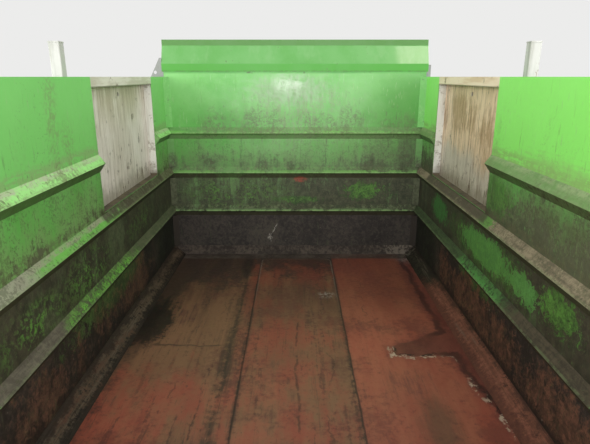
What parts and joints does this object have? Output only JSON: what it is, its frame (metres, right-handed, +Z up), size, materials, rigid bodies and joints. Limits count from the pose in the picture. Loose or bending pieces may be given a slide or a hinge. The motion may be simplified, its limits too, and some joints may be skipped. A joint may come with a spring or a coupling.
{
  "type": "tipping refuse body",
  "caption": "Open-top tipping tub for a small refuse truck: ridged walls, headboard, side hatches, loading chute, and a subframe it tips on.",
  "frame": {"origin": "on the ground plane, under the middle of the part's box, between the subframe rails", "axes": "+Z up; +Y forwards, towards the cab, along the part's length; +X to its right hand side"},
  "size_m": [1.771, 2.793, 1.6013],
  "materials": {
    "tub_paint": "weathered green paint",
    "headboard_paint": "glossy green paint",
    "outer_paint": "green paint",
    "floor_oxide": "worn red oxide primer",
    "hatch_white": "grimy white paint",
    "subframe_paint": "dark grey paint",
    "bright_steel": "ground steel",
    "pad_rubber": "matt"
  },
  "bodies": {
    "subframe": {"chassis_feet": "subframe_paint", "cross_members": "subframe_paint", "hinge_brackets": "subframe_paint", "hinge_pins": "bright_steel", "ram_base_bracket": "subframe_paint", "rest_pads": "pad_rubber", "subframe_rails": "subframe_paint"},
    "tub": {"cheek_rails": "outer_paint", "chute_gussets": "outer_paint", "chute_plate": "floor_oxide", "corner_strips": "tub_paint", "cross_bearers": "outer_paint", "floor_cover": "floor_oxide", "floor_plate_left": "floor_oxide", "floor_plate_right": "floor_oxide", "floor_strip": "floor_oxide", "front_top_rail": "outer_paint", "front_uprights": "outer_paint", "front_wall": "tub_paint", "hatch_bar_left": "hatch_white", "hatch_bar_right": "hatch_white", "hatch_frame_left": "hatch_white", "hatch_frame_right": "hatch_white", "hatch_hinges": "bright_steel", "headboard": "headboard_paint", "headboard_brackets": "hatch_white", "headboard_ribs": "outer_paint", "kick_front": "floor_oxide", "kick_sides": "floor_oxide", "lip_beam": "outer_paint", "lower_rails": "outer_paint", "ram_top_bracket": "outer_paint", "rear_cheek_left": "tub_paint", "rear_cheek_right": "tub_paint", "rear_uprights": "outer_paint", "rim_rail_left": "outer_paint", "rim_rail_right": "outer_paint", "runners": "outer_paint", "side_posts": "hatch_white", "side_wall_left": "tub_paint", "side_wall_right": "tub_paint"},
    "hatch_left": {"hatch_leaf_left": "hatch_white"},
    "hatch_right": {"hatch_leaf_right": "hatch_white"},
    "ram_barrel": {"ram_barrel": "subframe_paint"},
    "ram_rod": {"ram_rod": "bright_steel"}
  },
  "joints": [
    {"name": "tip", "type": "hinge", "parent": "subframe", "child": "tub", "pos_m": [0, -1.2565, 0.1503], "axis": [1, 0, 0], "range_deg": [0, 90]},
    {"name": "hatch_left_hinge", "type": "hinge", "parent": "tub", "child": "hatch_left", "pos_m": [-0.8745, 0.5985, 0.7943], "axis": [0, -1, 0], "range_deg": [0, 175]},
    {"name": "hatch_right_hinge", "type": "hinge", "parent": "tub", "child": "hatch_right", "pos_m": [0.8745, 0.5985, 0.7943], "axis": [0, 1, 0], "range_deg": [0, 175]},
    {"name": "ram_swing", "type": "hinge", "parent": "subframe", "child": "ram_barrel", "pos_m": [0, -1.1065, 0.0753], "axis": [1, 0, 0], "range_deg": [0, 92.98]},
    {"name": "ram_stroke", "type": "slide", "parent": "ram_barrel", "child": "ram_rod", "axis": [0, 0.9956, 0.0933], "range_m": [0, 0.23246]}
  ],
  "couplings": [
    {"joint": "ram_swing", "follows": "tip", "ratio": 1.033},
    {"joint": "ram_stroke", "follows": "tip", "m_per_rad": 0.14796}
  ]
}
